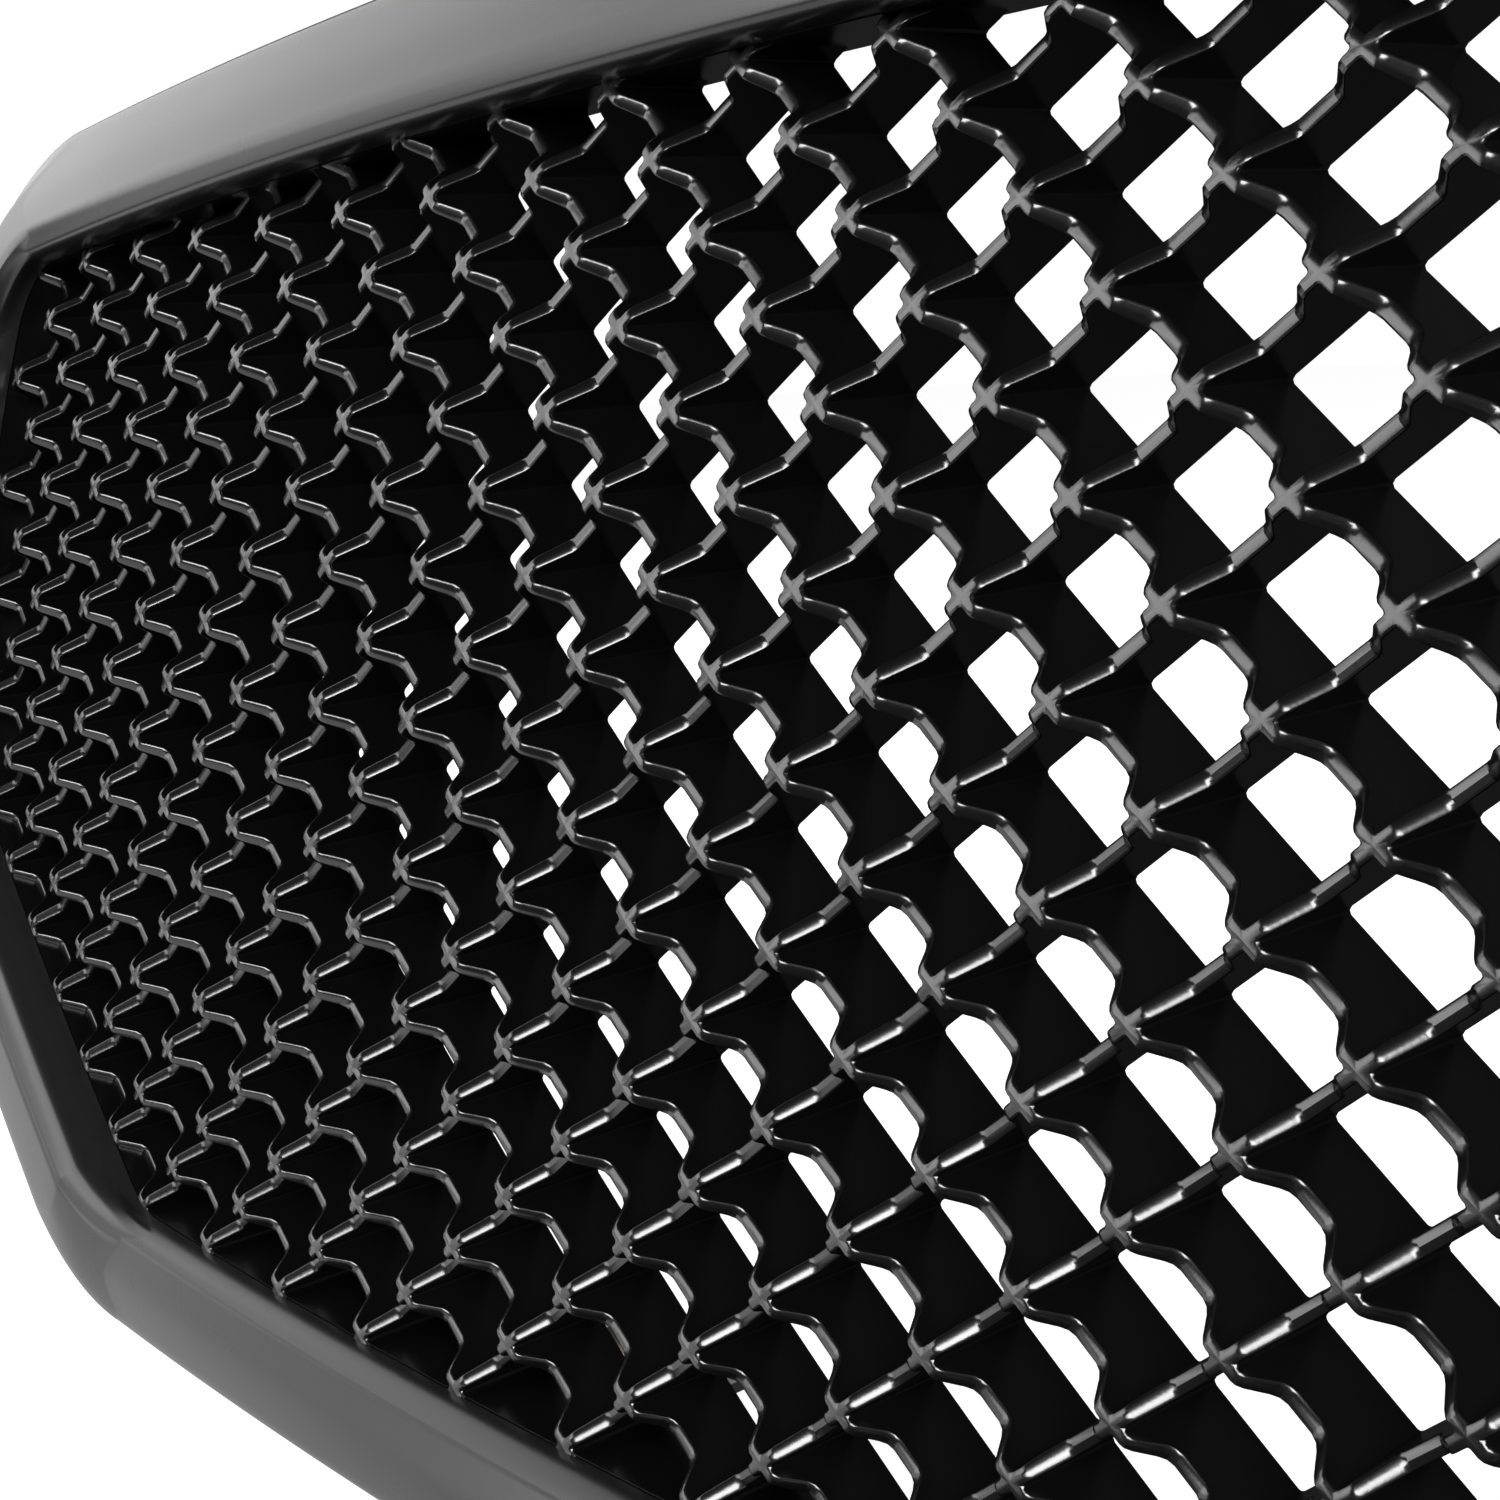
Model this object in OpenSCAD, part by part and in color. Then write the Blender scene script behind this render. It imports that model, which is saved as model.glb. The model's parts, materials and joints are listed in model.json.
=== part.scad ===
// Front grille for a car: a deep moulded mesh in a broad surround, with its
// brackets, screws and push-pin retainers. X is the car's width, -Y is forward
// and Z is up. The origin is midway between the two bolts of the lower feet.

/* [Face of the grille] */
// Slope of the face at mid height, back per unit of height
rake = 0.175; // [0.10:0.005:0.25]
// Plan radius of the bow from side to side
bow_r = 1900; // [1500:50:3000]
// Radius of the vertical crown
crown_r = 500; // [400:25:900]
// Height at which the extra roll-back equals one unit
curl_z = 64; // [55:1:90]

/* [Mesh] */
// Half the width of a diamond
half_w = 14.2; // [12:0.1:16]
// Half the height of a diamond
half_h = 11; // [9:0.1:13]
// Thickness of a rib
rib_t = 1.7; // [1.4:0.1:2.4]
// Depth of a rib, front to back
rib_d = 15.2; // [12:0.2:18]
// How far the second family of ribs sits behind the first
rib_step = 0.4; // [0.2:0.1:1]

/* [Opening] */
// Half the width of the mesh opening
open_x = 374; // [365:1:380]
// Bottom of the opening below mid height
open_bottom = 94; // [92:0.5:98]
// Top of the opening above mid height, at the centre
open_top = 97; // [95:0.5:100]
// Where the cut corner meets the bottom, from the centre
cut_x = 284; // [270:1:300]
// Drop of the top edge at arch_x from the centre
arch_drop = 13; // [8:0.5:16]

/* [Fixings] */
// Depth of the screw seats behind the face
seat_d = 16.6; // [16:0.2:20]
// Length of a self-tapping screw
screw_l = 16; // [12:1:20]
// Radius of a screw's shank
screw_r = 1.7; // [1.5:0.1:2]
// Distance between the two lower bolts
foot_pitch = 410; // [380:2:440]
// Radius of the lower bolt holes in the spring nuts
nut_r = 3.2; // [2.6:0.1:3.4]
// Radius of a push-pin retainer's shank
retainer_r = 3.95; // [3.5:0.05:4.5]
// Radius of a side locating peg
peg_r = 4; // [3:0.25:5]

/* [Hidden] */
$fn = 48;

foot_drop = 118;   // feet below mid height
foot_back = 55;    // bolt line behind the face's middle
arch_x = 350;
cut_angle = atan(half_h / half_w);
rim_t = 2.2;       // wall of the insert's rim
rim_front = -0.5;  // all depths are forward of the face, so these two are behind it
rim_back = -19.2;
tab_t = 2.5;       // screw tabs of the insert
tab_r = 5.6;
boss_r = 3.8;
sheet_t = 2;       // steel of the lower brackets
stay_t = 2.5;      // side stays
pad_t = 3;         // screw pads of the upper support
web_gap = 20.6;    // upper support's web behind the face
web_t = 2.4;
shelf_top = 110;
shelf_t = 3;
shelf_back = 95;
ear_y = 103;
ear_r = 13;
ear_x = [-270, -60, 60, 270];

// ---- The face: everything is placed by its depth forward of this surface ----
function face(x, z) = rake * z + x * x / (2 * bow_r) + z * z / (2 * crown_r) + pow(z / curl_z, 3);
function arch(x) = arch_drop * pow(x / arch_x, 2);
module place() {
  translate([0, -foot_back, foot_drop]) children();
}

// ---- Outlines: half a contour, bottom centre to top centre, as [x, z, section] ----
// Offsets n and radii r are for the bottom, cut corner, side and top in that order.
function dir(a) = [cos(a), sin(a)];
function bend(p, a0, a1, r, s, count) =
  let (start = p - r * tan((a0 - a1) / 2) * dir(a0), c = start + r * dir(a0 - 90))
  [for (i = [0:count]) let (q = c + r * dir(a0 + 90 + (a1 - a0) * i / count)) [q.x, q.y, s + i / count]];
function run(p, q, s, count) =
  [for (i = [1:count - 1]) let (m = p + (q - p) * i / count) [m.x, m.y, s]];
function xz(p) = [p.x, p.y];
function half_outline(n, r) =
  let (
    bottom = -open_bottom - n[0],
    side = -open_x - n[2],
    cut = [-cut_x, -open_bottom] + n[1] * dir(270 - cut_angle),
    slope = -tan(cut_angle),
    p1 = [cut.x + (bottom - cut.y) / slope, bottom],
    p2 = [side, cut.y + (side - cut.x) * slope],
    p3 = [side, open_top + n[3] - arch(side)],
    b1 = bend(p1, 180, 180 - cut_angle, r[0], 0, 4),
    b2 = bend(p2, 180 - cut_angle, 90, r[1], 1, 4),
    b3 = bend(p3, 90, 0, r[2], 2, 6),
    flat = concat(
      [[0, bottom, 0]], run([0, bottom], xz(b1[0]), 0, 11), b1, run(xz(b1[4]), xz(b2[0]), 1, 4), b2,
      run(xz(b2[4]), xz(b3[0]), 2, 5), b3, run(xz(b3[6]), [0, p3.y], 3, 11), [[0, p3.y, 3]])
  )
  [for (p = flat) p[2] > 2 ? [p.x, p.y + arch(side) - arch(p.x), p[2]] : p];
function mirrored(half) =
  concat(half, [for (i = [len(half) - 2:-1:1]) [-half[i].x, half[i].y, half[i][2]]]);
function by_section(v, s) = let (i = min(2, floor(s))) v[i] + (v[i + 1] - v[i]) * (s - i);
function ring(n, r, f) =
  [for (p = mirrored(half_outline(n, r))) [p.x, face(p.x, p.y) - by_section(f, p[2]), p.y]];

// Closed band through a list of rings, each with the same number of points
module band(rings) {
  m = len(rings[0]);
  k = len(rings);
  function at(i, j) = (i % k) * m + j % m;
  polyhedron(
    points = [for (g = rings) each g],
    faces = [for (i = [0:k - 1], j = [0:m - 1])
      each [[at(i, j), at(i + 1, j), at(i, j + 1)], [at(i, j + 1), at(i + 1, j), at(i + 1, j + 1)]]]
  );
}

// ---- Offsets and depths of the surround's section, inner wall to outer flange ----
n_lip = [0.8, 1.9, 1.1, 1.1];
f_lip = [2.8, 4.6, 4.6, 4.6];
n_crease = [2.8, 7.8, 5.4, 4.9];
f_crease = [5.6, 9.9, 9, 7.65];
n_face = [10, 16, 13, 14];
f_face = [7.9, 10.5, 9.4, 8.4];
n_edge = [18.3, 23.9, 23.2, 24];
f_edge = [6.6, 8.8, 7, 6.2];
flange_t = 2.4;
flange_back = -14;
r_inner = [20, 25, 12];
r_lip = [40, 30, 16];
r_crease = [36, 55, 22];
r_edge = [60, 70, 50];
one = [1, 1, 1, 1];

// ---- Screw places: [x, z, seat depth in Y, thickness clamped under the head] ----
function seat(x, z) = face(x, z) + seat_d;
low_z = -open_bottom - 9;
top_n = 10;
side_x = open_x + 9;
side_z = [12, 40];
pair_x = [foot_pitch / 2 - 20, foot_pitch / 2 + 20];
insert_places = [for (s = [-1, 1]) [s * 60, low_z, seat(60, low_z), tab_t]];
support_places = [for (s = [-1, 1], x = [60, 180, 300])
  let (z = open_top + top_n - arch(x)) [s * x, z, seat(x, z), tab_t + pad_t]];
bracket_places = [for (s = [-1, 1], x = pair_x) [s * x, low_z, seat(pair_x[1], low_z), tab_t + sheet_t]];
side_places = [for (s = [-1, 1], z = side_z) [s * side_x, z, seat(side_x, side_z[1]), tab_t + stay_t]];
all_places = concat(insert_places, support_places, bracket_places, side_places);

// Cylinder along +Y from y, at x and z
module rod(x, z, y, r, h) {
  translate([x, y, z]) rotate([-90, 0, 0]) cylinder(r = r, h = h);
}

// ---- Surround ----
module surround() {
  color([0.33, 0.33, 0.33]) place() difference() {
    union() {
      band([
        ring(0.2 * one, r_inner, -0.2 * one),
        ring([0.35, 0.6, 0.45, 0.45], r_inner, [1.4, 1.6, 1.6, 2.2]),
        ring(n_lip, r_lip, f_lip),
        ring([1.7, 3.9, 2.5, 2.4], r_lip, [4.5, 8, 7.4, 6.4]),
        ring(n_crease, r_crease, f_crease),
        ring(n_crease + 0.9 * one, r_crease, f_crease + [0.1, 0.1, 0.1, 0.26]),
        ring(n_crease + 1.6 * one, r_crease, f_crease + [0.5, 0.3, 0.2, 0.42]),
        ring(n_face, r_crease, f_face),
        ring(n_edge - 2.4 * one, r_edge, f_edge + 1.7 * one),
        ring(n_edge - 0.7 * one, r_edge, f_edge + 1.2 * one),
        ring(n_edge, r_edge, f_edge),
        ring(n_edge, r_edge, flange_back * one),
        ring(n_edge - flange_t * one, r_edge, flange_back * one),
        ring(n_edge - flange_t * one, r_edge, f_edge - 1.6 * one),
        ring(n_face, r_crease, f_face - 2.6 * one),
        ring(n_crease + 1.6 * one, r_crease, f_crease - 2.7 * one),
        ring(n_lip + 2.4 * one, r_lip, f_lip - 2.5 * one)
      ]);
      for (p = all_places) let (start = face(p[0], p[1]) - (abs(p[0]) > open_x ? 7.6 : 5.8))
        rod(p[0], p[1], start, boss_r, p[2] - start);
    }
    for (p = all_places) rod(p[0], p[1], p[2] - 15, screw_r + 0.05, 16);
  }
}

// ---- Mesh insert ----
pitch = norm([half_w, half_h]);
span = (open_top + open_bottom) / sin(cut_angle) + 8;
// One rib through (x0, 0): side is 1 where it falls to the right and -1 where it rises
module rib(x0, side, front) {
  steps = 6;
  s = [for (k = [0:steps]) -(open_top + 3) / sin(cut_angle) + span * k / steps];
  edge = [for (t = s) let (u = side * t) [u, face(x0 + u * cos(cut_angle), -t * sin(cut_angle))]];
  points = concat(
    [for (p = edge) p + [0, front]],
    [for (i = [steps:-1:0]) edge[i] + [0, front + rib_d]]);
  translate([x0, 0, 0]) rotate([0, side * cut_angle, 0])
    linear_extrude(height = rib_t, center = true) polygon(points);
}
module opening_prism(n) {
  outline = mirrored(half_outline(n * one, r_inner));
  translate([0, 120, 0]) rotate([90, 0, 0]) linear_extrude(height = 160) polygon([for (p = outline) xz(p)]);
}
module tab(p) {
  out = abs(p[0]) > open_x ? [sign(p[0]), 0] : [0, sign(p[1])];
  reach = out.x != 0 ? abs(p[0]) - open_x : (p[1] < 0 ? -p[1] - open_bottom : top_n);
  rod(p[0], p[1], p[2], tab_r, tab_t);
  translate([p[0], 0, p[1]]) rotate([0, out.x != 0 ? (out.x > 0 ? 90 : -90) : (out.y > 0 ? 0 : 180), 0]) {
    translate([-4.5, p[2], 1.3 - reach]) cube([9, tab_t, reach]);
    translate([-4.5, p[2] - 6, 1.3 - reach]) cube([9, 6 + tab_t, 2.6]);
  }
}
module mesh_insert() {
  color([0.05, 0.05, 0.05]) place() difference() {
    union() {
      intersection() {
        union() {
          for (k = [-18:17]) rib(half_w * (2 * k + 1.5), 1, 1);
          for (k = [-17:18]) rib(half_w * (2 * k - 1.5), -1, 1 + rib_step);
        }
        opening_prism(0.8);
      }
      band([
        ring(0 * one, r_inner, rim_front * one),
        ring(rim_t * one, r_inner, rim_front * one),
        ring(rim_t * one, r_inner, rim_back * one),
        ring(0 * one, r_inner, rim_back * one)
      ]);
      for (p = all_places) tab(p);
    }
    for (p = all_places) rod(p[0], p[1], p[2] - 1, screw_r + 0.3, tab_t + 2);
  }
}

// ---- Self-tapping pan head screws with a cross recess ----
module screws(places) {
  for (p = places) {
    under = p[2] + p[3];
    difference() {
      union() {
        rod(p[0], p[1], under - screw_l, screw_r, screw_l + 0.1);
        rod(p[0], p[1], under, 4, 1.6);
        rod(p[0], p[1], under + 1.6, 3.2, 0.8);
      }
      for (a = [0, 90]) translate([p[0], under + 1.9, p[1]]) rotate([0, a, 0])
        cube([4, 2, 0.9], center = true);
    }
  }
}
module insert_screws() {
  color("silver") place() screws(insert_places);
}
module support_screws() {
  color("silver") place() screws(support_places);
}
module bracket_screws() {
  color("silver") place() screws(bracket_places);
}
module side_screws() {
  color("silver") place() screws(side_places);
}

// ---- Upper support: curved web, shelf and ears ----
web_z0 = 91;
web_end = 300;
function web_y(x) = face(x, open_top + top_n - arch(x)) + web_gap;
function web_line(shift, end) = [for (x = [-end:end / 9:end + 1]) [x, web_y(x) + shift]];
function reversed(v) = [for (i = [len(v) - 1:-1:0]) v[i]];
module plan_strip(near, far, end, z, h) {
  translate([0, 0, z]) linear_extrude(height = h)
    polygon(concat(web_line(near, end), reversed(web_line(far, end))));
}
module upper_support() {
  color([0.09, 0.09, 0.09]) place() difference() {
    union() {
      plan_strip(0, web_t, web_end, web_z0, shelf_top - web_z0);
      translate([0, 0, shelf_top - shelf_t]) linear_extrude(height = shelf_t)
        polygon(concat(web_line(1, web_end), [[web_end, shelf_back], [-web_end, shelf_back]]));
      for (x = ear_x) translate([x, ear_y, shelf_top - shelf_t]) {
        cylinder(r = ear_r, h = shelf_t);
        translate([-ear_r, -ear_y + shelf_back - 6, 0]) cube([2 * ear_r, ear_y - shelf_back + 6, shelf_t]);
      }
      for (p = support_places) rod(p[0], p[1], p[2] + tab_t, tab_r + 0.6, pad_t);
      for (x = [-230, -20, 20, 230]) let (y = web_y(x) + 1)
        translate([x - 1, y, shelf_top - 9]) cube([2, shelf_back - y - 2, 8]);
    }
    opening_prism(4);
    for (x = ear_x) translate([x, ear_y, shelf_top - 10]) cylinder(r = retainer_r + 0.15, h = 20);
    for (p = support_places) rod(p[0], p[1], p[2] + tab_t - 4, screw_r + 0.3, 20);
    for (p = support_places) rod(p[0], p[1], p[2] + tab_t + pad_t, 5, 20);
  }
}
module seal_strip() {
  color([0.13, 0.13, 0.13]) place() plan_strip(6, 14, 235, shelf_top, 5);
}

// ---- Push-pin retainers ----
bore_r = 2.05;
module push_body(x) {
  color([0.12, 0.12, 0.12]) place() translate([x, ear_y, shelf_top]) difference() {
    union() {
      cylinder(r = 8, h = 2);
      translate([0, 0, -shelf_t - 0.5]) cylinder(r = retainer_r - 0.45, h = shelf_t + 1);
      translate([0, 0, -15]) cylinder(r = retainer_r, h = 15 - shelf_t);
    }
    translate([0, 0, -16]) cylinder(r = bore_r, h = 20);
    translate([0, 0, 1.2]) cylinder(r = 5.4, h = 2);
  }
}
module push_pin(x) {
  color([0.2, 0.2, 0.2]) place() translate([x, ear_y, shelf_top]) {
    translate([0, 0, -16.5]) cylinder(r = bore_r - 0.05, h = 18);
    translate([0, 0, 1.2]) cylinder(r = 5, h = 1.8);
  }
}

// ---- Lower brackets and their spring nuts ----
module lower_bracket(side) {
  y0 = bracket_places[0][2] + tab_t;
  x0 = side * foot_pitch / 2;
  color([0.5, 0.5, 0.52]) place() difference() {
    union() {
      translate([x0 - 30, y0, -foot_drop]) cube([60, sheet_t, foot_drop + low_z + 6]);
      translate([x0 - 30, y0, -foot_drop]) cube([60, foot_back - y0 + 12, sheet_t]);
      for (s = [-1, 1]) translate([x0 + s * 29 - 1, y0, -foot_drop]) rotate([90, 0, 90])
        linear_extrude(height = 2) polygon([[0, 0], [26, 0], [26, 2], [2, 18], [0, 18]]);
    }
    translate([x0, foot_back, -foot_drop - 1]) cylinder(r = nut_r + 1, h = 4);
    for (p = bracket_places) rod(p[0], p[1], y0 - 1, screw_r + 0.4, 8);
  }
}
module spring_nut(side) {
  leaf = 1;
  color([0.42, 0.42, 0.4]) place() translate([side * foot_pitch / 2, foot_back, -foot_drop]) difference() {
    union() {
      translate([-8, -9, sheet_t]) cube([16, 22, leaf]);
      translate([-8, -7, -leaf]) cube([16, 20, leaf]);
      translate([-8, 12, -leaf]) cube([16, 1, sheet_t + 2 * leaf]);
      translate([0, 0, sheet_t]) cylinder(r = 5, h = 5.5);
    }
    translate([0, 0, -5]) cylinder(r = nut_r, h = 20);
  }
}

// ---- Side stays, each with a locating peg, and the felt pads on them ----
module side_bracket(side) {
  y0 = side_places[0][2] + tab_t;
  x0 = side * side_x;
  zm = (side_z[0] + side_z[1]) / 2;
  color([0.09, 0.09, 0.09]) place() difference() {
    union() {
      translate([x0 - 6, y0, side_z[0] - 7]) cube([12, stay_t, side_z[1] - side_z[0] + 14]);
      translate([x0 - 6, y0, zm - 8]) cube([12, 26, stay_t]);
      translate([x0 - 6, y0, zm + 8 - stay_t]) cube([12, 26, stay_t]);
      translate([x0 - 6, y0 + 26 - stay_t, zm - 8]) cube([12, stay_t, 16]);
      rod(x0, zm, y0 + 25, peg_r, 15);
    }
    for (z = side_z) rod(x0, z, y0 - 1, screw_r + 0.3, 8);
  }
}
module felt_pads() {
  y0 = side_places[0][2] + tab_t;
  zm = (side_z[0] + side_z[1]) / 2;
  color([0.3, 0.3, 0.3]) place() for (side = [-1, 1])
    translate([side * side_x - 5, y0 + 8, zm + 8]) cube([10, 14, 2]);
}

surround();
mesh_insert();
insert_screws();
support_screws();
bracket_screws();
side_screws();
upper_support();
seal_strip();
for (i = [0:3]) push_body(ear_x[i]);
for (i = [0:3]) push_pin(ear_x[i]);
lower_bracket(-1);  // lower_bracket_l
lower_bracket(1);  // lower_bracket_r
spring_nut(-1);  // spring_nut_l
spring_nut(1);  // spring_nut_r
side_bracket(-1);  // side_bracket_l
side_bracket(1);  // side_bracket_r
felt_pads();
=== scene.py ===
import json
import math
import bmesh
import bpy
import numpy as np
from mathutils import Matrix, Vector


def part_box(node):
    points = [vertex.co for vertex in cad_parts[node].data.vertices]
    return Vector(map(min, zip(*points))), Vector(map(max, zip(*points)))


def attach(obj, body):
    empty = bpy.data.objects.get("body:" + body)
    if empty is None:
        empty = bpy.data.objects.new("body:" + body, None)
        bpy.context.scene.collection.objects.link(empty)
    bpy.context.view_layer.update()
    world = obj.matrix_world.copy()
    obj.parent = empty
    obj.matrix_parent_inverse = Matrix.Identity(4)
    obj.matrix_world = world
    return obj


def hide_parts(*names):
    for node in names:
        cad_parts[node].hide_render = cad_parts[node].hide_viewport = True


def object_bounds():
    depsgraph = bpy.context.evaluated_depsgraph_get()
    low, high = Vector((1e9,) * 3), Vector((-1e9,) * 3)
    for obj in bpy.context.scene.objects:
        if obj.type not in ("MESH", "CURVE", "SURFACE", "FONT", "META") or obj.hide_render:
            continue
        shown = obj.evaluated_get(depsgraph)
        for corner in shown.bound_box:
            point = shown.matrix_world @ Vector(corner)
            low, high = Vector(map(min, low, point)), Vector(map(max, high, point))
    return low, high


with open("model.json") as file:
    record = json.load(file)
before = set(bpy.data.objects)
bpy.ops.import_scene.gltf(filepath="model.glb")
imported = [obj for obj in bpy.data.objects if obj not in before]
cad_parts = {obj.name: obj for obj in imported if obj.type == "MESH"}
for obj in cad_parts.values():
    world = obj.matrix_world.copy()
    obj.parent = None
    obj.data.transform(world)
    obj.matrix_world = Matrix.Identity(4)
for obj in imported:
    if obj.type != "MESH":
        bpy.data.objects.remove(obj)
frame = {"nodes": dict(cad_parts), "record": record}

cad_box = [list(map(float, corner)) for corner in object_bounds()]
MM = 0.001

# ---------------------------------------------------------------- the face and its outlines, in mm
# The face's slope, its radii across and up, and the length of its cubic curl.
RAKE, BOW, CROWN, CURL = 0.175, 1900.0, 500.0, 64.0
# The opening's half width, its depth below and height above the middle, and where its lower corners are cut.
OPEN_X, OPEN_BOTTOM, OPEN_TOP, CUT_X = 374.0, 94.0, 97.0, 284.0
# The top edge drops by this much at this distance from the middle.
ARCH_DROP, ARCH_X = 13.0, 350.0
# Half a diamond of the mesh. The cut corners run along its ribs.
HALF_W, HALF_H = 14.2, 11.0
CUT = math.atan(HALF_H / HALF_W)
RIGHT_ANGLE = math.pi / 2


def face(x, z):
    return RAKE * z + x * x / (2 * BOW) + z * z / (2 * CROWN) + (z / CURL) ** 3


def arch(x):
    return ARCH_DROP * (x / ARCH_X) ** 2


def heading(a):
    return np.array([math.cos(a), math.sin(a)])


def bend(p, a0, a1, r, s, count):
    """Round corner p between headings a0 and a1, to the right, from section s to s + 1."""
    start = p - r * math.tan((a0 - a1) / 2) * heading(a0)
    c = start + r * heading(a0 - RIGHT_ANGLE)
    return [(*(c + r * heading(a0 + RIGHT_ANGLE + (a1 - a0) * i / count)), s + i / count)
            for i in range(count + 1)]


def run(p, q, s, count):
    """Points between p and q, without their ends, in section s."""
    return [(*(np.array(p[:2]) + (np.array(q[:2]) - np.array(p[:2])) * i / count), s)
            for i in range(1, count)]


def half_outline(n, r, fine):
    """Bottom centre, cut corner, side, top centre, as (x, z, section)."""
    bottom, side = -OPEN_BOTTOM - n[0], -OPEN_X - n[2]
    cut = np.array([-CUT_X, -OPEN_BOTTOM]) + n[1] * heading(1.5 * math.pi - CUT)
    slope = -math.tan(CUT)
    p1 = np.array([cut[0] + (bottom - cut[1]) / slope, bottom])
    p2 = np.array([side, cut[1] + (side - cut[0]) * slope])
    p3 = np.array([side, OPEN_TOP + n[3] - arch(side)])
    b1 = bend(p1, math.pi, math.pi - CUT, r[0], 0, 3 * fine)
    b2 = bend(p2, math.pi - CUT, RIGHT_ANGLE, r[1], 1, 3 * fine)
    b3 = bend(p3, RIGHT_ANGLE, 0, r[2], 2, 5 * fine)
    flat = [(0.0, bottom, 0)] + run((0, bottom), b1[0], 0, 8 * fine) + b1
    flat += run(b1[-1], b2[0], 1, 2 * fine) + b2
    flat += run(b2[-1], b3[0], 2, 2 * fine) + b3
    flat += run(b3[-1], (0, p3[1]), 3, 8 * fine) + [(0.0, p3[1], 3)]
    return [(x, z + arch(side) - arch(x), s) if s > 2 else (x, z, s) for x, z, s in flat]


def outline(n, r, fine=4):
    """Closed outline at offsets n and corner radii r; a larger fine gives more points."""
    half = half_outline(n, r, fine)
    return half + [(-x, z, s) for x, z, s in half[-2:0:-1]]


def by_section(v, s):
    """Value at section s: 0 is the bottom, 1 the cut corner, 2 the side and 3 the top."""
    i = min(2, int(s))
    return v[i] + (v[i + 1] - v[i]) * (s - i)


def ring(n, r, f, fine=4):
    """Outline that stands f in front of the face."""
    return [(x, face(x, z) - by_section(f, s), z) for x, z, s in outline(n, r, fine)]


# ---------------------------------------------------------------- section of the surround, in mm
# Offsets n from the opening and heights f over the face, for the bottom, the cut corner, the side
# and the top, and radii for the three corners between them.
ONE = np.ones(4)
R_INNER, R_LIP, R_CREASE, R_EDGE = (20, 25, 12), (40, 30, 16), (36, 55, 22), (60, 70, 50)
N_LIP, F_LIP = np.array([0.8, 1.9, 1.1, 1.1]), np.array([2.8, 4.6, 4.6, 4.6])
N_CREASE, F_CREASE = np.array([2.8, 7.8, 5.4, 4.9]), np.array([5.6, 9.9, 9.0, 7.65])
N_FACE, F_FACE = np.array([10.0, 16.0, 13.0, 14.0]), np.array([7.9, 10.5, 9.4, 8.4])
N_EDGE, F_EDGE = np.array([18.3, 23.9, 23.2, 24.0]), np.array([6.6, 8.8, 7.0, 6.2])
FLANGE_T, FLANGE_BACK = 2.4, -14.0

# ---------------------------------------------------------------- fixings, as in the CAD, in mm
SEAT = 16.6                         # from the face back to the bosses' ends
TAB_T = 2.5
LOW_Z = -OPEN_BOTTOM - 9.0
SIDE_X, SIDE_Z = OPEN_X + 9, (12.0, 40.0)
LONE_X, PAIR_X = 60.0, (185.0, 225.0)             # below the opening
TOP_X, TOP_RISE = (60.0, 180.0, 300.0), 10.0
BOSS_R, PILOT_R, PILOT_DEPTH, HOLE_R = 3.8, 1.75, 15, 2.0
BOSS_START, SIDE_BOSS_START = 5.8, 7.6    # before the face, inside the shell
ROUND_HOLE = 20                     # sides of a small hole


def seat(x, z):
    return face(x, z) + SEAT


def top_z(x):
    return OPEN_TOP + TOP_RISE - arch(x)


# Every screw's place, as (x, z, y of the boss's end).
places = [(s * LONE_X, LOW_Z, seat(LONE_X, LOW_Z)) for s in (-1, 1)]
places += [(s * x, top_z(x), seat(x, top_z(x))) for s in (-1, 1) for x in TOP_X]
places += [(s * x, LOW_Z, seat(PAIR_X[1], LOW_Z)) for s in (-1, 1) for x in PAIR_X]
places += [(s * SIDE_X, z, seat(SIDE_X, SIDE_Z[1])) for s in (-1, 1) for z in SIDE_Z]

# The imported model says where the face's origin is: the surround's lowest point gives its height, and the
# front of a lower bracket, which lies on a tab, gives its depth.
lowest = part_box("surround")[0]
ORIGIN = Vector((0.0, 0.0, lowest[2] + (OPEN_BOTTOM + N_EDGE[0]) * MM))
ORIGIN.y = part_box("lower_bracket_l")[0][1] - (seat(PAIR_X[1], LOW_Z) + TAB_T) * MM


def to_m(points):
    return np.asarray(points, dtype=float) * MM + np.array(ORIGIN)


# ---------------------------------------------------------------- mesh helpers
def linked(name, data):
    """Object of a mesh, light or camera, put in the scene."""
    ob = bpy.data.objects.new(name, data)
    bpy.context.scene.collection.objects.link(ob)
    return ob


def new_object(name, verts, faces):
    me = bpy.data.meshes.new(name)
    me.from_pydata([tuple(v) for v in verts], [], faces)
    me.validate()
    return linked(name, me)


def smooth(ob, angle):
    """Shade smooth, with edges sharper than the angle, in degrees, left sharp."""
    ob.data.shade_smooth()
    ob.data.set_sharp_from_angle(angle=math.radians(angle))


def outward(ob):
    bm = bmesh.new()
    bm.from_mesh(ob.data)
    bmesh.ops.recalc_face_normals(bm, faces=bm.faces)
    if bm.calc_volume(signed=True) < 0:
        bmesh.ops.reverse_faces(bm, faces=bm.faces)
    bm.to_mesh(ob.data)
    bm.free()


def solid(name, verts, faces):
    """Closed object of points in mm."""
    ob = new_object(name, to_m(verts), faces)
    outward(ob)
    return ob


def bake(ob):
    """Turn the object's modifiers into its mesh."""
    graph = bpy.context.evaluated_depsgraph_get()
    me = bpy.data.meshes.new_from_object(ob.evaluated_get(graph))
    ob.modifiers.clear()
    old = ob.data
    ob.data = me
    bpy.data.meshes.remove(old)


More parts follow.
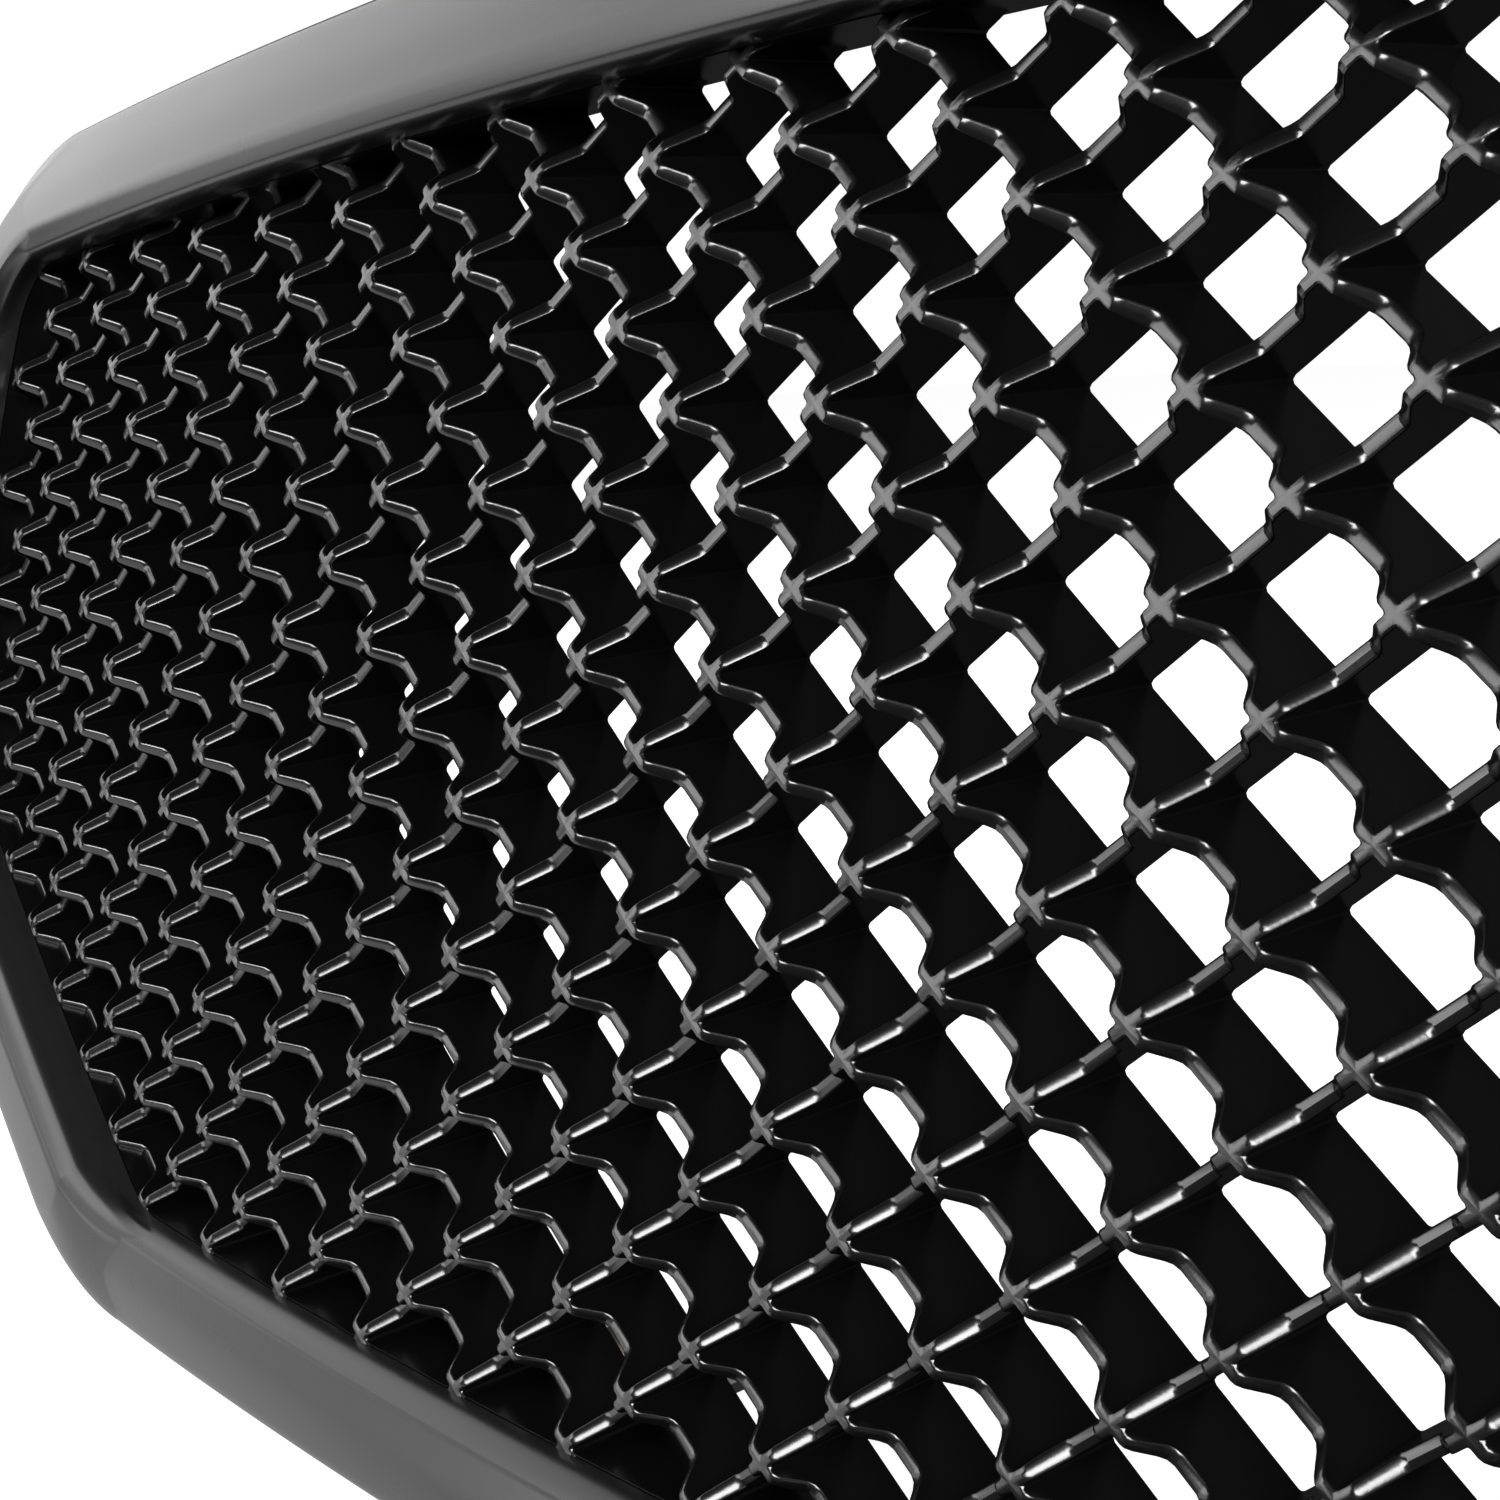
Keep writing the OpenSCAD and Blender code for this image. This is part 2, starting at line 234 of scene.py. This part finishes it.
def cut_with(ob, tool, operation):
    """Boolean of the object and the tool, which is used up."""
    mod = ob.modifiers.new("cut", "BOOLEAN")
    mod.operation = operation
    mod.solver = "MANIFOLD"
    mod.object = tool
    bake(ob)
    bpy.data.objects.remove(tool)


def loft(name, rings):
    """Closed band through closed rings with the same number of points."""
    k, m = len(rings), len(rings[0])
    verts = [p for g in rings for p in g]
    faces = [(i * m + j, (i + 1) % k * m + j, (i + 1) % k * m + (j + 1) % m, i * m + (j + 1) % m)
             for i in range(k) for j in range(m)]
    return solid(name, verts, faces)


def prism(name, poly, y0, y1):
    """Solid of an XZ polygon between two depths."""
    m = len(poly)
    verts = [(x, y0, z) for x, z in poly] + [(x, y1, z) for x, z in poly]
    faces = [tuple(range(m)), tuple(range(2 * m - 1, m - 1, -1))]
    faces += [(j, (j + 1) % m, m + (j + 1) % m, m + j) for j in range(m)]
    return solid(name, verts, faces)


def rods(name, rows, segments=28):
    """Disjoint cylinders along Y, each (x, z, y0, y1, r)."""
    verts, faces = [], []
    turns = [2 * math.pi * i / segments for i in range(segments)]
    for x, z, y0, y1, r in rows:
        b = len(verts)
        verts += [(x + r * math.cos(a), y, z + r * math.sin(a)) for y in (y0, y1) for a in turns]
        faces += [tuple(range(b, b + segments)), tuple(range(b + 2 * segments - 1, b + segments - 1, -1))]
        faces += [(b + i, b + (i + 1) % segments, b + segments + (i + 1) % segments, b + segments + i)
                  for i in range(segments)]
    return solid(name, verts, faces)


# ---------------------------------------------------------------- surround
def eased(points, steps):
    """Smooth curve through control rows (n, r, f), with the given number of steps a span."""
    rows = [np.concatenate([n, r, f]).astype(float) for n, r, f in points]
    out = []
    for i in range(len(rows) - 1):
        a, b = rows[max(i - 1, 0)], rows[i]
        c, d = rows[i + 1], rows[min(i + 2, len(rows) - 1)]
        for k in range(steps[i]):
            t = k / steps[i]
            out.append(0.5 * (2 * b + (c - a) * t + (2 * a - 5 * b + 4 * c - d) * t * t
                              + (3 * b - a - 3 * c + d) * t ** 3))
    out.append(rows[-1])
    return [(q[:4], q[4:7], q[7:]) for q in out]


# From the inner foot over the lip to the crease.
front = eased([
    (0.2 * ONE, R_INNER, -0.2 * ONE),
    (np.array([0.35, 0.6, 0.45, 0.45]), R_INNER, np.array([1.4, 1.6, 1.6, 2.2])),
    (N_LIP, R_LIP, F_LIP),
    (np.array([1.7, 3.9, 2.5, 2.4]), R_LIP, np.array([4.5, 8.0, 7.4, 6.4])),
    (N_CREASE, R_CREASE, F_CREASE)], [4, 4, 5, 5])
# The crease is weaker along the top.
groove = [(N_CREASE + 0.45 * ONE, R_CREASE, F_CREASE + np.array([0.03, 0.06, 0.05, 0.14])),
          (N_CREASE + 0.9 * ONE, R_CREASE, F_CREASE + np.array([0.12, 0.12, 0.10, 0.26])),
          (N_CREASE + 1.3 * ONE, R_CREASE, F_CREASE + np.array([0.30, 0.24, 0.18, 0.35]))]
# The broad outer face and its rolled edge.
crown = eased([
    (N_CREASE + 1.9 * ONE, R_CREASE, F_CREASE + np.array([0.52, 0.38, 0.25, 0.46])),
    (N_FACE, R_CREASE, F_FACE),
    (N_EDGE - 2.4 * ONE, R_EDGE, F_EDGE + 1.7 * ONE),
    (N_EDGE - 0.7 * ONE, R_EDGE, F_EDGE + 1.2 * ONE),
    (N_EDGE, R_EDGE, F_EDGE)], [8, 8, 3, 4])
# Round the flange's rear edge and along the inside of the shell.
back = [
    (N_EDGE, R_EDGE, (FLANGE_BACK + 0.4) * ONE),
    (N_EDGE - 0.4 * ONE, R_EDGE, FLANGE_BACK * ONE),
    (N_EDGE - (FLANGE_T - 0.4) * ONE, R_EDGE, FLANGE_BACK * ONE),
    (N_EDGE - FLANGE_T * ONE, R_EDGE, (FLANGE_BACK + 0.4) * ONE),
    (N_EDGE - FLANGE_T * ONE, R_EDGE, F_EDGE - 2.2 * ONE),
    (N_EDGE - (FLANGE_T + 0.8) * ONE, R_EDGE, F_EDGE - 1.0 * ONE),
    (N_FACE, R_CREASE, F_FACE - 2.6 * ONE),
    (N_CREASE + 1.6 * ONE, R_CREASE, F_CREASE - 2.7 * ONE),
    (N_LIP + 2.4 * ONE, R_LIP, F_LIP - 2.5 * ONE)]


def boss_start(x, z):
    return face(x, z) - (SIDE_BOSS_START if abs(x) > OPEN_X else BOSS_START)


surround = loft("surround_shell", [ring(n, r, f, 8) for n, r, f in front + groove + crown + back])
bosses = rods("bosses", [(x, z, boss_start(x, z), y, BOSS_R) for x, z, y in places])
cut_with(surround, bosses, "UNION")
pilots = rods("pilots", [(x, z, y - PILOT_DEPTH, y + 1, PILOT_R) for x, z, y in places], ROUND_HOLE)
cut_with(surround, pilots, "DIFFERENCE")
smooth(surround, angle=42)

# ---------------------------------------------------------------- ribs of the mesh insert, in mm
DEPTH = 16.5
T_FRONT, T_BACK = 0.92, 1.15        # half thickness of a rib at its front and back
PITCH = math.hypot(HALF_W, HALF_H)  # from a crossing to the next
# Distance from a crossing and the dip of the front edge there: crisp on the ribs that rise to the
# right, rounder on the others.
CRISP = [(2.30, 0.05), (3.10, 0.52), (5.90, 4.42), (6.70, 4.93)]
ROUND = [(2.10, 0.0), (2.70, 0.22), (3.40, 0.95), (5.30, 3.75), (6.10, 4.60), (7.10, 4.97)]
STATIONS = [near + [(PITCH - u, w) for u, w in reversed(near)] for near in (CRISP, ROUND)]
ROOF = math.tan(math.radians(14))   # the rib's front falls to both sides of a ridge
TURN = 0.36                         # width of the rounding beside the roof
# The rounding's lines from the roof's edge to the wall: the depth behind that edge, the distance inside
# the rib's side, and the radius in the cell's corners.
ROUNDING = (("edge", 0.0, TURN, 0.60), ("side", 0.19, 0.12, 0.46), ("wall", 0.435, 0.0, 0.40))
BACK_CORNER_R = 0.6
CORNERS = [np.array([-HALF_W, 0]), np.array([0, HALF_H]), np.array([HALF_W, 0]), np.array([0, -HALF_H])]
HALF_ANGLES = [CUT, RIGHT_ANGLE - CUT, CUT, RIGHT_ANGLE - CUT]


def half_t(depth):
    """Half thickness of a rib, which grows quickly behind its front."""
    return T_BACK - (T_BACK - T_FRONT) * (1 - depth / DEPTH) ** 4


def corner_arc(c, i, d, r):
    """Three points of the rounded corner i of the cell at c, at a distance d from the ribs' middles."""
    corner, h = CORNERS[i], HALF_ANGLES[i]
    mid = c + corner - corner / np.linalg.norm(corner) * (d + r) / math.sin(h)
    out = math.atan2(corner[1], corner[0])
    sweep = RIGHT_ANGLE - h
    return [mid + r * heading(out + a) for a in (sweep, 0.0, -sweep)]


def strip(upper, lower):
    """Quads between two lines of points."""
    return [(upper[k], lower[k], lower[k + 1], upper[k + 1]) for k in range(len(upper) - 1)]


def cell_points(c, add, shared):
    """Point numbers of the cell at c: its ridges, its rounding, its rear corners and the crossings behind."""
    ridges, loops = [], {level: [] for level, *_ in ROUNDING}
    for i in range(4):
        a, b = c + CORNERS[i], c + CORNERS[(i + 1) % 4]
        along = (b - a) / PITCH
        inward = np.array([along[1], -along[0]])
        ridge = [shared(a, 0, face(*a))]
        for u, w in STATIONS[i % 2]:
            q = a + along * u
            ridge.append(shared(q, 1, face(*q) + w))
        ridges.append(ridge)
        for level, lift, inset, r in ROUNDING:
            drop = lift + ROOF * (half_t(0) - TURN)
            arc = [add(q, face(*q) + drop) for q in corner_arc(c, i, half_t(0) - inset, r)]
            row = []
            for u, w in STATIONS[i % 2]:
                q = a + along * u + inward * (half_t(w) - inset)
                row.append(add(q, face(*q) + w + lift + ROOF * (half_t(w) - TURN)))
            loops[level].append(arc + row)
    rear = [[add(q, face(*q) + DEPTH) for q in corner_arc(c, i, T_BACK, BACK_CORNER_R)] for i in range(4)]
    back = [shared(c + corner, 2, face(*(c + corner)) + DEPTH) for corner in CORNERS]
    return ridges, loops, rear, back


def cell_faces(ridges, loops, rear, back):
    """Faces round a cell: half of the front, the side wall and half of the back of each of its ribs."""
    faces = []
    for i in range(4):
        j = (i + 1) % 4
        top = ridges[i] + [ridges[j][0]]
        edge, side, wall = (loops[level][i] + [loops[level][j][0]] for level in ("edge", "side", "wall"))
        faces += [(top[0], edge[0], edge[1]), (top[0], edge[1], edge[2])]
        faces += strip(top, edge[2:]) + strip(edge, side) + strip(side, wall) + strip(wall[:3], rear[i])
        faces.append((rear[i][2], rear[j][0], *reversed(wall[2:])))
        faces += [(back[i], rear[i][1], rear[i][0]), (back[i], rear[i][2], rear[i][1]),
                  (back[i], back[j], rear[j][0], rear[i][2])]
    return faces


def lattice(centres):
    """Ribs round the diamond cells at the centres, as points in mm and faces."""
    verts, faces, keys, borders = [], [], {}, {}

    def add(q, y):
        verts.append((q[0], y, q[1]))
        return len(verts) - 1

    def shared(q, level, y):
        """Point on the middle of a rib, which the cells on both sides use, found to a fiftieth of a mm."""
        k = (round(q[0] * 50), round(q[1] * 50), level)
        if k not in keys:
            keys[k] = add(q, y)
        return keys[k]

    for centre in centres:
        ridges, loops, rear, back = cell_points(np.array(centre), add, shared)
        faces += cell_faces(ridges, loops, rear, back)
        for i in range(4):
            j = (i + 1) % 4
            border = (*ridges[i], ridges[j][0], back[j], back[i])
            borders.setdefault(tuple(sorted((back[i], back[j]))), []).append(border)
    # A rib with a cell on one side only is closed along its middle.
    faces += [sides[0] for sides in borders.values() if len(sides) == 1]
    return verts, faces


# ---------------------------------------------------------------- cells that reach into the opening
RIM_W = 2.2
RIM_MIDDLE = RIM_W / 2
# Half diamonds across and down from row 0, which is this many half diamonds above the middle.
COLUMNS, ROWS, ROW_0_UP = range(-30, 31), range(-6, 18), 5.5
LIMIT = np.array([(x, z) for x, z, _ in outline(RIM_MIDDLE * ONE, R_INNER, 40)])


def inside(points):
    """Which points lie inside the middle of the rim."""
    x, y = points[:, 0][:, None], points[:, 1][:, None]
    x0, y0 = LIMIT[:, 0][None], LIMIT[:, 1][None]
    x1, y1 = np.roll(LIMIT[:, 0], -1)[None], np.roll(LIMIT[:, 1], -1)[None]
    crossing = ((y0 > y) != (y1 > y)) & (x < (x1 - x0) * (y - y0) / (y1 - y0 + 1e-12) + x0)
    return crossing.sum(axis=1) % 2 == 1


diamond = [(0.0, 0.0)] + [(s * t * HALF_W, (1 - t) * r * HALF_H)
                          for t in np.linspace(0, 1, 12) for s in (-1, 1) for r in (-1, 1)]
centres = [(HALF_W * m, HALF_H * (ROW_0_UP - v)) for m in COLUMNS for v in ROWS if (m + v) % 2]
centres = [c for c in centres if inside(np.array(c) + np.array(diamond)).any()]

# ---------------------------------------------------------------- mesh insert
RIM_FRONT, RIM_BACK = -0.5, -19.2
TRIM_N, TRIM_FRONT, TRIM_BACK = 0.9, -60, 140    # the ribs end inside the rim
TAB_R, TAB_ARC, NECK_W, WEB_T, WEB_DEPTH = 5.6, 2.18, 4.6, 2.4, 6


def tab(x, z, y):
    """A screw tab: round pad, neck and stiffening web, out from the rim."""
    if abs(x) > OPEN_X:
        out, reach = (0 if x > 0 else math.pi), abs(x) - OPEN_X
    elif z > 0:
        out, reach = RIGHT_ANGLE, TOP_RISE
    else:
        out, reach = -RIGHT_ANGLE, -z - OPEN_BOTTOM
    root = -(reach - RIM_MIDDLE)
    pad = [TAB_R * heading(a) for a in np.linspace(-TAB_ARC, TAB_ARC, 20)]
    pad += [np.array([root, NECK_W]), np.array([root, -NECK_W])]
    web = [np.array([root, NECK_W]), np.array([root, -NECK_W]),
           np.array([root + WEB_T, -NECK_W]), np.array([root + WEB_T, NECK_W])]
    spin = np.array([[math.cos(out), -math.sin(out)], [math.sin(out), math.cos(out)]])
    body = prism("pad", [spin @ p + (x, z) for p in pad], y, y + TAB_T)
    rib = prism("web", [spin @ p + (x, z) for p in web], y - WEB_DEPTH, y + TAB_T)
    cut_with(body, rib, "UNION")
    return body


def joined(name, objects):
    """One object with the meshes of disjoint objects, which are used up."""
    bm = bmesh.new()
    for ob in objects:
        bm.from_mesh(ob.data)
    me = bpy.data.meshes.new(name)
    bm.to_mesh(me)
    bm.free()
    for ob in objects:
        bpy.data.objects.remove(ob)
    return linked(name, me)


insert = solid("mesh_lattice", *lattice(centres))
trim = [(x, z) for x, z, _ in outline(TRIM_N * ONE, R_INNER, 6)]
stencil = prism("stencil", trim, TRIM_FRONT, TRIM_BACK)
cut_with(insert, stencil, "INTERSECT")
rim = loft("rim", [ring(n * ONE, R_INNER, f * ONE, 6) for n, f in (
    (0, RIM_FRONT), (RIM_W, RIM_FRONT), (RIM_W, RIM_BACK), (0, RIM_BACK))])
cut_with(insert, rim, "UNION")
cut_with(insert, joined("tabs", [tab(*p) for p in places]), "UNION")
holes = rods("screw_holes", [(x, z, y - 1, y + TAB_T + 1, HOLE_R) for x, z, y in places], ROUND_HOLE)
cut_with(insert, holes, "DIFFERENCE")
smooth(insert, angle=27)

for piece, node in ((surround, "surround"), (insert, "mesh_insert")):
    weigh = piece.modifiers.new("weigh", "WEIGHTED_NORMAL")
    weigh.keep_sharp = True
    weigh.weight = 60
    bake(piece)
    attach(piece, "grille")
    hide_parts(node)

# ---------------------------------------------------------------- materials
GRAIN_HEIGHT = 0.0002
CLOUD_SIZE = 40                     # the roughness varies this many times more broadly than the grain


def set_inputs(node, **values):
    for name, value in values.items():
        node.inputs[name.replace("_", " ")].default_value = value


def material(name, color, rough, spread=0.06, scale=900.0, bump=0.02, metallic=0.0, tint=0.15,
             detail=3.0, level=0.5):
    """Moulded or plated surface: fine grain in its colour, roughness and relief."""
    mat = bpy.data.materials.new(name)
    mat.use_nodes = True
    nt = mat.node_tree
    bsdf = nt.nodes["Principled BSDF"]
    bsdf.inputs["Metallic"].default_value = metallic
    bsdf.inputs["Specular IOR Level"].default_value = level
    coord = nt.nodes.new("ShaderNodeTexCoord")
    grain = nt.nodes.new("ShaderNodeTexNoise")
    set_inputs(grain, Scale=scale, Detail=detail)
    nt.links.new(coord.outputs["Object"], grain.inputs["Vector"])
    broad = nt.nodes.new("ShaderNodeTexNoise")
    set_inputs(broad, Scale=scale / CLOUD_SIZE, Detail=2.0)
    nt.links.new(coord.outputs["Object"], broad.inputs["Vector"])
    ramp = nt.nodes.new("ShaderNodeMapRange")
    set_inputs(ramp, To_Min=rough - spread, To_Max=rough + spread)
    nt.links.new(broad.outputs["Fac"], ramp.inputs["Value"])
    nt.links.new(ramp.outputs["Result"], bsdf.inputs["Roughness"])
    mix = nt.nodes.new("ShaderNodeMix")
    mix.data_type = "RGBA"
    mix.inputs["A"].default_value = (*[c * (1 - tint) for c in color], 1)
    mix.inputs["B"].default_value = (*[min(1, c * (1 + tint)) for c in color], 1)
    nt.links.new(grain.outputs["Fac"], mix.inputs["Factor"])
    nt.links.new(mix.outputs["Result"], bsdf.inputs["Base Color"])
    relief = nt.nodes.new("ShaderNodeBump")
    set_inputs(relief, Strength=bump, Distance=GRAIN_HEIGHT)
    nt.links.new(grain.outputs["Fac"], relief.inputs["Height"])
    nt.links.new(relief.outputs["Normal"], bsdf.inputs["Normal"])
    return mat


FINISHES = {
    "surround_plastic": dict(color=(0.007, 0.007, 0.0072), rough=0.27, spread=0.02, scale=1400, bump=0.05),
    "mesh_plastic": dict(color=(0.0018, 0.0018, 0.0019), rough=0.25, spread=0.03, scale=1400, bump=0.08,
                         level=0.8),
    "screw_zinc": dict(color=(0.62, 0.62, 0.60), rough=0.32, scale=700, bump=0.05, metallic=1.0),
    "support_plastic": dict(color=(0.03, 0.03, 0.032), rough=0.6, spread=0.05, bump=0.3),
    "seal_rubber": dict(color=(0.02, 0.02, 0.02), rough=0.85, spread=0.05, scale=500, bump=0.6),
    "retainer_nylon": dict(color=(0.025, 0.025, 0.027), rough=0.5, spread=0.05, bump=0.1),
    "pin_nylon": dict(color=(0.06, 0.06, 0.065), rough=0.45, spread=0.05, bump=0.1),
    "bracket_steel": dict(color=(0.05, 0.05, 0.055), rough=0.45, spread=0.08, scale=600, bump=0.15),
    "nut_steel": dict(color=(0.45, 0.42, 0.34), rough=0.42, spread=0.08, scale=600, bump=0.15, metallic=1.0),
    "felt": dict(color=(0.05, 0.05, 0.052), rough=0.95, spread=0.03, scale=1500, bump=1.0, tint=0.6,
                 detail=8.0),
}
SLOTS = {name: material(name, **finish) for name, finish in FINISHES.items()}
insert.data.materials.clear()
insert.data.materials.append(SLOTS["mesh_plastic"])
surround.data.materials.clear()
surround.data.materials.append(SLOTS["surround_plastic"])
slot_of = {s["node"]: s["material_slot"] for s in frame["record"]["subparts"]}
for name, ob in frame["nodes"].items():
    if name in ("surround", "mesh_insert"):
        continue
    for s in ob.material_slots:
        s.material = SLOTS[slot_of[name]]

# ---------------------------------------------------------------- floor and background
FLOOR_HALF = 6
floor_z = cad_box[0][2] - 0.0002


def for_camera(nt, unseen, seen, socket):
    """Give the socket one value for the camera's own view and another for the light on other things."""
    path = nt.nodes.new("ShaderNodeLightPath")
    amount = nt.nodes.new("ShaderNodeMapRange")
    set_inputs(amount, To_Min=unseen, To_Max=seen)
    nt.links.new(path.outputs["Is Camera Ray"], amount.inputs["Value"])
    nt.links.new(amount.outputs["Result"], socket)


square = [(FLOOR_HALF * a, FLOOR_HALF * b, floor_z) for a, b in ((-1, -1), (1, -1), (1, 1), (-1, 1))]
floor = new_object("floor", square, [(0, 1, 2, 3)])
pale = bpy.data.materials.new("pale")
pale.use_nodes = True
nt = pale.node_tree
bsdf = nt.nodes["Principled BSDF"]
set_inputs(bsdf, Roughness=0.9, Emission_Color=(1, 1, 1, 1))
for_camera(nt, 0.0, 0.95, bsdf.inputs["Emission Strength"])
for_camera(nt, 0.06, 0.8, bsdf.inputs["Base Color"])
floor.data.materials.append(pale)

world = bpy.data.worlds.new("studio")
bpy.context.scene.world = world
world.use_nodes = True
background = world.node_tree.nodes["Background"]
set_inputs(background, Color=(1, 1, 1, 1))
for_camera(world.node_tree, 0.03, 1.05, background.inputs["Strength"])

# ---------------------------------------------------------------- lights, in metres
AWAY = 1.6
middle = Vector((0, ORIGIN.y, 0.12))


def toward(azimuth, elevation):
    """Direction from its azimuth from the front, positive to the right, and elevation, in degrees."""
    a, e = math.radians(azimuth), math.radians(elevation)
    return Vector((math.sin(a) * math.cos(e), -math.cos(a) * math.cos(e), math.sin(e)))


def softbox(name, direction, width, height, glow):
    """Area light that faces the grille from a direction; glow is its radiance."""
    d = direction.normalized()
    light = bpy.data.lights.new(name, "AREA")
    light.shape = "RECTANGLE"
    light.size, light.size_y = width, height
    light.energy = glow * math.pi * width * height
    ob = linked(name, light)
    ob.location = middle + d * AWAY
    ob.rotation_euler = d.to_track_quat("Z", "Y").to_euler()
    ob.visible_camera = False
    return ob


softbox("front_left", toward(-38, 12), 1.04, 1.9, 3.8)
softbox("left", toward(-82, 27), 1.5, 0.85, 2.05)
softbox("left_low", toward(-69, 3), 0.72, 0.56, 1.2)
softbox("key", toward(46, 24), 1.05, 0.8, 18.0)
# The lights behind show the back; the mesh is left out, as they would shine through it onto its walls.
unlit = bpy.data.collections.new("not_lit_from_behind")
for ob in (insert, floor):
    unlit.objects.link(ob)
for name, azimuth, glow in (("rear_right", 150, 4.5), ("rear_left", -148, 2.5)):
    lamp = softbox(name, toward(azimuth, 14), 1.2, 1.0, glow)
    lamp.light_linking.receiver_collection = unlit
for item in unlit.collection_objects:
    item.light_linking.link_state = "EXCLUDE"
# A low light on the floor, in front and to the left, lights the faces that lean down.
bounce = softbox("bounce", Vector((0, 0, -1)), 0.86, 0.36, 1.1)
bounce.location = (-0.57, -0.19, floor_z + 0.002)
bounce.rotation_euler = (math.pi, 0, 0)

# ---------------------------------------------------------------- camera
# It is close to the grille, to the right of the part that it sees, and looks to the left and a little down.
AZ, EL, ROLL = 0.81195, -0.21111, -0.06705        # in radians
spot = ORIGIN + Vector((110.57, -200.75, 57.18)) * MM
aim = Vector((-math.sin(AZ) * math.cos(EL), math.cos(AZ) * math.cos(EL), math.sin(EL)))
right = aim.cross(Vector((0, 0, 1))).normalized()
up = right.cross(aim)
right, up = (math.cos(ROLL) * right + math.sin(ROLL) * up, -math.sin(ROLL) * right + math.cos(ROLL) * up)
cam = bpy.data.cameras.new("camera")
cam.sensor_width = 36.0
cam.lens = 58.0
cam.shift_y = 0.075
cam.clip_start = 0.005
camera = linked("camera", cam)
camera.matrix_world = Matrix((
    (right.x, up.x, -aim.x, spot.x), (right.y, up.y, -aim.y, spot.y), (right.z, up.z, -aim.z, spot.z),
    (0, 0, 0, 1)))
bpy.context.scene.camera = camera
bpy.context.scene.view_settings.view_transform = "Standard"
